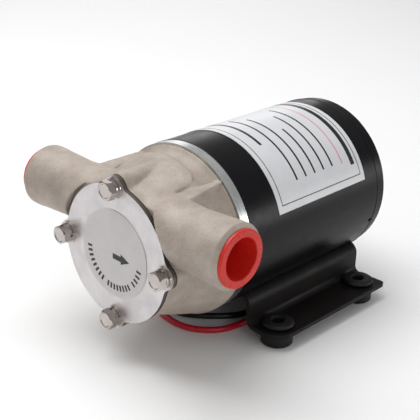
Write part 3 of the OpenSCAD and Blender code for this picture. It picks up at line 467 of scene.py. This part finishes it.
def along(x, points):
    """Radius at x on straight lines through points (station, radius)."""
    return np.interp(x, *zip(*points))


def rounded_profile(shares, top_r, step=0.25):
    """Profile of stations and radii through shares of the body's length and of the rise to top_r.

    It is a cubic whose slope at each given point is a weighted mean of the chords beside it.
    """
    p = np.array([(LAND_Y + a * BODY_LENGTH, FRONT_R + b * (top_r - FRONT_R)) for a, b in shares])
    m = np.gradient(p[:, 1], p[:, 0])
    y = np.arange(p[0, 0], p[-1, 0], step)
    k = np.clip(np.searchsorted(p[:, 0], y, "right") - 1, 0, len(p) - 2)
    h = p[k + 1, 0] - p[k, 0]
    t = (y - p[k, 0]) / h
    r = ((2 * t ** 3 - 3 * t ** 2 + 1) * p[k, 1] + (t ** 3 - 2 * t ** 2 + t) * h * m[k]
         + (3 * t ** 2 - 2 * t ** 3) * p[k + 1, 1] + (t ** 3 - t ** 2) * h * m[k + 1])
    return np.concatenate([np.stack([y, r], 1), p[-1:]])


def turned_field(r, y, profile):
    """Field of a turned solid: radius less the profile's there, times the cosine of its slope."""
    station, radius = profile.T
    slope = np.interp(y, (station[1:] + station[:-1]) / 2, np.diff(radius) / np.diff(station))
    side = (r - np.interp(y, station, radius)) / np.sqrt(1 + slope ** 2)
    return np.maximum(side, between(y, station[0], station[-1]))


def skirt_field(r, y, angle):
    """The turned skirt and flange, less a channel of round section that sweeps over the top."""
    flange = [(FLANGE_Y - FLANGE_THICK, FLANGE_R), (FLANGE_Y, FLANGE_R)]
    skirt = turned_field(r, y, np.concatenate([rounded_profile(SKIRT, FLANGE_R), flange]))
    section = np.hypot(r - CHANNEL_R, y - CHANNEL_Y) - CHANNEL_SECTION_R
    end = r * np.sin(np.radians(CHANNEL_END - np.maximum(angle, LOWEST_ANGLE)))
    return cut(skirt, np.maximum(section, end), CHANNEL_REACH)


def shoulder_field(r, y, angle):
    """A turned crown, kept within a rounded rectangle about the top line."""
    crown = turned_field(r, y, rounded_profile(SHOULDER, SHOULDER_R))
    across = SHOULDER_R * np.radians(90 - angle) - SHOULDER_HALF
    behind = y - SHOULDER_BACK
    outside = np.hypot(np.maximum(across, 0), np.maximum(behind, 0))
    footprint = outside + np.minimum(np.maximum(across, behind), 0) - SHOULDER_CORNER
    return common(crown, footprint, FOOTPRINT_REACH)


def eared_outline(x, z):
    """Distance outside the cover's outline, the least of three: to a circle, four round ears, and
    the webs that fill the corners between them up to a fillet touching both."""
    u, v = np.maximum(np.abs(x), np.abs(z)), np.minimum(np.abs(x), np.abs(z))
    reach, side = COVER_R + EAR_FILLET_R, EAR_R + EAR_FILLET_R
    turn = math.acos((reach ** 2 + BOLT_CIRCLE_R ** 2 - side ** 2) / (2 * reach * BOLT_CIRCLE_R))
    cu, cv = reach * math.cos(turn), reach * math.sin(turn)
    inner = v * math.cos(turn) - u * math.sin(turn)
    outer = (u - BOLT_CIRCLE_R) * cv - v * (cu - BOLT_CIRCLE_R)
    web = np.maximum(inner, outer / math.hypot(cv, cu - BOLT_CIRCLE_R))
    web = np.maximum(np.maximum(web, -v), EAR_FILLET_R - np.hypot(u - cu, v - cv))
    ear = np.hypot(u - BOLT_CIRCLE_R, v) - EAR_R
    return np.minimum(np.minimum(np.hypot(x, z) - COVER_R, ear), web)


def gusset_field(ax, y, z):
    """Rib whose flat top passes through the three points of GUSSET, and whose upright sides lie
    GUSSET_MARGIN outside their triangle."""
    a, b, c = GUSSET
    n = np.cross(c - a, b - a)
    n /= np.linalg.norm(n) * np.sign(n[2])
    top = (ax - a[0]) * n[0] + (y - a[1]) * n[1] + (z - a[2]) * n[2]
    plate = np.maximum(top, -top - GUSSET_DEPTH)
    middle = (a + b + c) / 3
    for p, q in ((a, b), (b, c), (c, a)):
        m = np.array([q[1] - p[1], p[0] - q[0]])
        m *= -np.sign((middle - p)[:2] @ m) / np.hypot(*m)
        side = (ax - p[0]) * m[0] + (y - p[1]) * m[1] - GUSSET_MARGIN
        plate = common(plate, side, GUSSET_CORNER_REACH)
    return plate


def hole_field(x, y, z, rho):
    """Distance to the nearest bore or seat; rho is the distance from the ports' line."""
    ax, r = np.abs(x), np.hypot(x, z)
    bolt = np.hypot(np.maximum(ax, np.abs(z)) - BOLT_CIRCLE_R, np.minimum(ax, np.abs(z)))
    cam_slot = np.maximum(ax - CAM_SLOT_HALF, np.maximum(r - CAM_SLOT_R, y - CAM_SLOT_END))
    hole = np.maximum(r - SEAT_R, y - LAND_Y)
    for other in (
        np.maximum(r - CHAMBER_R, y - CHAMBER_END),
        cam_slot + FAR * (z < 0),
        np.maximum(r - SEAL_R, y - SEAL_END),
        r - SHAFT_HOLE_R,
        np.maximum(r - CAVITY_R, CAVITY_Y - y),
        rho - along(ax, MOUTH_STEP),
        np.maximum(bolt - BOLT_R, y - BOLT_END),
        np.maximum(np.hypot(x, y - WEEP_Y) - WEEP_R, z),
        np.maximum(np.hypot(ax - TIE_X, z) - TIE_R, TIE_Y - y),
    ):
        hole = np.minimum(hole, other)
    return hole


def casting_field(x, y, z):
    """Distance field of the pump head: skirt, shoulder, bolt bosses, eared front, necks and gussets
    joined by smooth unions, then the bores and seats taken out."""
    ax, r = np.abs(x), np.hypot(x, z)
    angle = np.degrees(np.arctan2(z, ax))
    body = blend(skirt_field(r, y, angle), shoulder_field(r, y, angle), SHOULDER_REACH)
    for bx, bz, reach, end in BOSSES:
        radius = EAR_R + BOSS_DRAFT * (y - LAND_Y)
        boss = np.hypot(x - bx * BOLT_CIRCLE_R, z - bz * BOLT_CIRCLE_R) - radius
        body = blend(body, np.maximum(boss, between(y, LAND_Y, end)), reach)
    front = np.maximum(eared_outline(x, z), between(y, LAND_Y, LAND_Y + EAR_R))
    body = blend(body, front, FRONT_REACH)
    rho = np.hypot(y - PORT_Y, z - PORT_Z)
    neck = np.maximum(rho - along(ax, NECK_TAPER), ax - SKIN_END)
    body = blend(body, neck, NECK_REACH)
    body = blend(body, gusset_field(ax, y, z), GUSSET_REACH)
    body = cut(body, hole_field(x, y, z, rho), HOLE_REACH)
    return np.maximum(body, y - FLANGE_Y)


def casting():
    """The head's skin where its field is zero, found on a grid of CELL mm and then thinned."""
    x, y, z = (np.arange(low, high + CELL, CELL) for low, high in GRID_BOX)
    field = casting_field(*np.meshgrid(x, y, z, indexing="ij"))
    grid = openvdb.FloatGrid(BAND)
    grid.copyFromArray(np.clip(field, -BAND, BAND).astype(np.float32))
    co, tris, quads = grid.convertToPolygons(0.0, 0.0)
    co = np.array([x[0], y[0], z[0]]) + co * CELL + (0, FRONT_Y, AXIS_Z)
    faces = [f.astype(int) for f in (quads, tris) if len(f)]
    skin = piece("pump_head_casting", (co, faces), bronze)
    skin.modifiers.new("fewer", "DECIMATE").ratio = KEPT_SHARE
    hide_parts("pump_body")


PORT_TURNS, TUBE_TURNS = 96, 160
TUCK = 1.2  # how far a port's end reaches under the skin
ROOT_R = 14
BEAD_ROUND, FACE_ROUND, MOUTH_ROUND = 1, 0.5, 0.3
BEAD_BACK = 2  # from the end face to the middle of the bead's rounding
FACE_EDGE_R = BEAD_R - 1.715  # middle of the rounding between the chamfer and the end face
MOUTH_EDGE_R = 11.55  # middle of the rounding between the end face and the mouth's chamfer


def port_ends():
    """The end of each neck, turned about the port's line: a bead that grows out of the taper, a
    chamfer at 45 degrees, the end face, and a chamfer into the mouth."""
    profile = np.concatenate([
        [(SKIN_END - TUCK, MOUTH_R), (SKIN_END - TUCK, ROOT_R),
         (SKIN_END - TUCK / 2, NECK_END_R), (SKIN_END + 1.5, BEAD_R - 0.05)],
        arc(PORT_END - BEAD_BACK, BEAD_R - BEAD_ROUND, BEAD_ROUND, 90, 45, 4),
        arc(PORT_END - FACE_ROUND, FACE_EDGE_R, FACE_ROUND, 45, 0, 3),
        arc(PORT_END - MOUTH_ROUND, MOUTH_EDGE_R, MOUTH_ROUND, 0, -45, 3),
        [(PORT_END - 0.9, MOUTH_R + 0.05), (PORT_END - 1.1, MOUTH_R)],
    ])
    for side, name in ((1, "right"), (-1, "left")):
        ring = lathe(profile, (FRONT_Y + PORT_Y, AXIS_Z + PORT_Z), side, PORT_TURNS)
        piece("port_end_" + name, ring, bronze)


TUBE_EDGES = (  # name, y, radius about the motor axis, radius of the edge's section, material
    ("tube_edge_front", -50.0, 39.82, 0.36, tube_coat),
    ("tube_edge_rear", 43.42, 39.82, 0.36, tube_coat),
    # the rear joint's ring is painted shade: near black where the open gap holds only shadow
    ("rear_joint_shade", 44.1, 39.35, 0.34, joint_painted_shade),
)
SECTION = 330, 0, 11  # twelve points round a section, clockwise so that its faces point outwards


def tube_edges():
    """The tube's rolled edges, and a near-black ring of painted shade in the open joint behind the
    rear one: round sections turned about the motor axis."""
    for name, y, radius, section_r, material in TUBE_EDGES:
        co, faces = lathe(arc(y, radius, section_r, *SECTION), (0, 0), 1, TUBE_TURNS)
        co = np.stack([-co[:, 1], co[:, 0], co[:, 2] + AXIS_Z], axis=1)
        piece(name, (co, faces), material)


casting()
port_ends()
tube_edges()


# Prints

LABEL_R = 40.27  # outer face of the motor label's film, about the motor axis
DISC_Y = FRONT_Y - 0.25  # front face of the round film
INK, ROOT = 0.03, 0.1  # how far a print stands out of its film and reaches into it

FRAME_Y, FRAME_TURN = (-28.0, 30.6), 68.4
RULE, RULE_TURN = 0.45, 0.64  # the same width along y in mm, and round the tube in degrees
HEAVY_BAR, SHORT_BAR = (25.6, 28.4, -60, 60), (-21.6, -20, -25, 25)
ROWS = (-14, -14), (-7.5, -6), (-1, 18), (5.5, 2), (12, -10)  # y, and the angle where a rule begins
ROW_WIDTH, ROW_END = 1.1, 56
RED_RULE = (19.5, 20.3, -57, 57)

ARROW_SHAFT = (-0.8, -2.3), (4.2, -2.45), (4.2, 0.05), (-0.8, 0.2)
ARROW_HEAD = (4.2, -3.7), (9.6, -1.2), (4.2, 1.3)
STROKE_GROUPS = (-176, -118, 8), (-104, -54, 8), (-40, -12, 4)  # first angle, last angle, count
STROKE_INNER_R, STROKE_OUTER_R, STROKE_HALF = 14.4, 17.2, 0.55


def curved_bars(bars, steps=32):
    """Closed strips round the motor's tube, a section swept through an angle: (y from, y to, angle
    from, angle to), in degrees from the top towards +X."""
    b = np.asarray(bars, float)
    a = np.radians(b[:, 2:3] + (b[:, 3:4] - b[:, 2:3]) * np.linspace(0, 1, steps + 1))[:, :, None]
    y = np.broadcast_to(b[:, None, (0, 1, 1, 0)], (len(b), steps + 1, 4))
    r = np.array([LABEL_R - ROOT, LABEL_R - ROOT, LABEL_R + INK, LABEL_R + INK])
    co = np.stack([r * np.sin(a), y, AXIS_Z + r * np.cos(a)], axis=3).reshape(len(b), -1, 3)
    last = steps * 4
    ends = np.array([[3, 2, 1, 0], [last, last + 1, last + 2, last + 3]])
    return copies(co, [np.concatenate([ring_quads(steps + 1, 4), ends])])


def flat_prisms(outlines):
    """Closed prisms on the round film, each from corners (x, z about the axis), anticlockwise seen
    from the front."""
    o = np.asarray(outlines, float)
    n = o.shape[1]
    layers = [np.stack([o[:, :, 0], np.full(o.shape[:2], y), o[:, :, 1] + AXIS_Z], axis=2)
              for y in (DISC_Y - INK, DISC_Y + ROOT)]
    j = np.arange(n)
    j2 = (j + 1) % n
    sides = np.stack([j, j + n, j2 + n, j2], axis=1)
    return copies(np.concatenate(layers, axis=1), [np.stack([j, j[::-1] + n]), sides])


def motor_print():
    """A ruled frame, a heavy bar near the rear, a short bar, five rules and a red one."""
    y0, y1 = FRAME_Y
    turn = FRAME_TURN - RULE_TURN
    bars = [(y0, y0 + RULE, -FRAME_TURN, FRAME_TURN), (y1 - RULE, y1, -FRAME_TURN, FRAME_TURN),
            (y0 + RULE, y1 - RULE, turn, FRAME_TURN), (y0 + RULE, y1 - RULE, -FRAME_TURN, -turn),
            HEAVY_BAR, SHORT_BAR]
    bars += [(y, y + ROW_WIDTH, begin, ROW_END) for y, begin in ROWS]
    piece("motor_label_print", curved_bars(bars), black_ink, smooth=False)
    piece("motor_label_red_rule", curved_bars([RED_RULE]), red_ink, smooth=False)


def disc_print():
    """An arrow along +X, and three groups of radial strokes, each a rectangle from the inner radius
    to the outer one."""
    a = np.radians(np.concatenate([np.linspace(*group) for group in STROKE_GROUPS]))
    out = np.stack([np.cos(a), np.sin(a)], axis=1)[:, None]
    across = np.stack([-np.sin(a), np.cos(a)], axis=1)[:, None]
    radii = np.array([STROKE_INNER_R, STROKE_OUTER_R, STROKE_OUTER_R, STROKE_INNER_R])[:, None]
    sides = STROKE_HALF * np.array([-1, -1, 1, 1])[:, None]
    strokes = out * radii + across * sides
    for name, outlines in (("disc_arrow_shaft", [ARROW_SHAFT]), ("disc_arrow_head", [ARROW_HEAD]),
                           ("disc_strokes", strokes)):
        piece(name, flat_prisms(outlines), black_ink, smooth=False)


motor_print()
disc_print()


# Leads

LEAD_R, STRAND_R, STRAND_LENGTH = 1.5, 0.9, 7
LEAD_SIDES, STRAND_SIDES = 20, 12
CURVE_PARTS = 8  # from one point of a route to the next
# Each route's points run from inside the motor's grommet to where the strands are bare.
RED_ROUTE = [(3, 38.5, 9), (3, 38.5, 8), (3, 36.7, 3.6), (3, 32.5, 1.5), (7, 20, 1.5),
             (15, 0, 1.5), (20.5, -18, 1.5), (21, -32, 1.5), (18, -44.5, 1.5), (8, -53.5, 1.5),
             (-5, -55, 1.5), (-17, -51, 1.5), (-24, -42, 1.5), (-26, -26, 1.5), (-24, -6, 1.5),
             (-25, 14, 1.5), (-24, 34, 1.5)]
BLACK_ROUTE = [(-3, 38.5, 9), (-3, 38.5, 8), (-3, 36.7, 3.6), (-3, 32.5, 1.5), (1, 20, 1.5),
               (9, 0, 1.5), (15, -14, 1.5), (15.5, -25, 1.5), (9, -35.5, 1.5), (-2, -45, 1.5),
               (-11, -47, 1.5), (-18, -40, 1.5), (-20.5, -26, 1.5), (-18, -6, 1.5),
               (-17, 14, 1.5), (-12, 30, 1.5)]


def smooth_path(route):
    """A cubic through every point of the route, whose slope there is half the step between its
    neighbours, kept on the floor."""
    p = np.asarray(route, float)
    stretch = np.arange(len(p) - 1)
    a, b, c, d = (p[np.clip(stretch + k, 0, len(p) - 1)][:, None] for k in (-1, 0, 1, 2))
    t = (np.arange(CURVE_PARTS) / CURVE_PARTS)[None, :, None]
    curve = 0.5 * (2 * b + (c - a) * t + (2 * a - 5 * b + 4 * c - d) * t ** 2
                   + (3 * b - a - 3 * c + d) * t ** 3)
    curve = np.concatenate([curve.reshape(-1, 3), p[-1:]])
    curve[:, 2] = np.maximum(curve[:, 2], LEAD_R)
    return curve


def lead(name, route, sheath):
    """An insulated wire laid along its route, with bare strands at the far end."""
    path = smooth_path(route)
    wire = piece(name + "_wire", tube(path, LEAD_R, LEAD_SIDES), sheath)
    way = path[-1] - path[-3]
    way /= np.linalg.norm(way)
    bare_path = np.array([path[-1] - way, path[-1] + way * STRAND_LENGTH])
    bare = piece(name + "_strands", tube(bare_path, STRAND_R, STRAND_SIDES), tinned_copper)
    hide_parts(name)


lead("red_lead", RED_ROUTE, red_pvc)
lead("black_lead", BLACK_ROUTE, black_pvc)


# Stage, in metres

FLOOR_HALF = 6.0
LIT_POINT = Vector((0, -30, 45)) * MM
# The room's light at the horizon, and above it from where a direction's Z is ROOM_TOP.
ROOM_LOW, ROOM_HIGH, ROOM_TOP = 0.19, 0.44, 0.8
PANELS = (  # name, place, width and height, watts
    ("key", (-0.6, -0.4, 0.8), (0.7, 0.7), 0.7),
    ("top", (-0.3, -0.1, 0.95), (0.8, 0.8), 7.6),
    ("right front", (0.75, -0.35, 0.4), (0.3, 0.3), 0.6),
    ("right back", (0.8, 0.72, 0.14), (0.45, 0.26), 1.6),
    ("left back", (-0.8, 0.75, 0.35), (0.5, 0.4), 0.9),
)


def lay_floor():
    """A flat pale floor, matt all over."""
    e = FLOOR_HALF
    mesh = bpy.data.meshes.new("floor")
    mesh.from_pydata([(-e, -e, 0), (e, -e, 0), (e, e, 0), (-e, e, 0)], [], [(0, 1, 2, 3)])
    material = surface("pale_floor", Roughness=0.9, Base_Color=linear("f8f8f8"))[0]
    mesh.materials.append(material)
    floor = bpy.data.objects.new("floor", mesh)
    scene.collection.objects.link(floor)


def light_room():
    """A pale room, whose light is weaker towards the horizon so that bare metal keeps some
    contrast, and five soft panels turned to LIT_POINT."""
    scene.world = bpy.data.worlds.new("room")
    scene.world.use_nodes = True
    tree = scene.world.node_tree
    direction = add(tree, "ShaderNodeTexCoord").outputs["Generated"]
    height = add(tree, "ShaderNodeSeparateXYZ", {"Vector": direction}).outputs["Z"]
    light = spread(tree, height, ROOM_LOW, ROOM_HIGH, 0, ROOM_TOP)
    tree.nodes["Background"].inputs["Color"].default_value = (1, 1, 1, 1)
    tree.links.new(light, tree.nodes["Background"].inputs["Strength"])
    for name, place, size, power in PANELS:
        data = bpy.data.lights.new(name, "AREA")
        data.shape, data.energy = "RECTANGLE", power
        data.size, data.size_y = size
        panel = bpy.data.objects.new(name, data)
        scene.collection.objects.link(panel)
        panel.location = place
        panel.rotation_euler = (LIT_POINT - panel.location).to_track_quat("-Z", "Y").to_euler()


lay_floor()
light_room()
scene.view_settings.view_transform = "Standard"
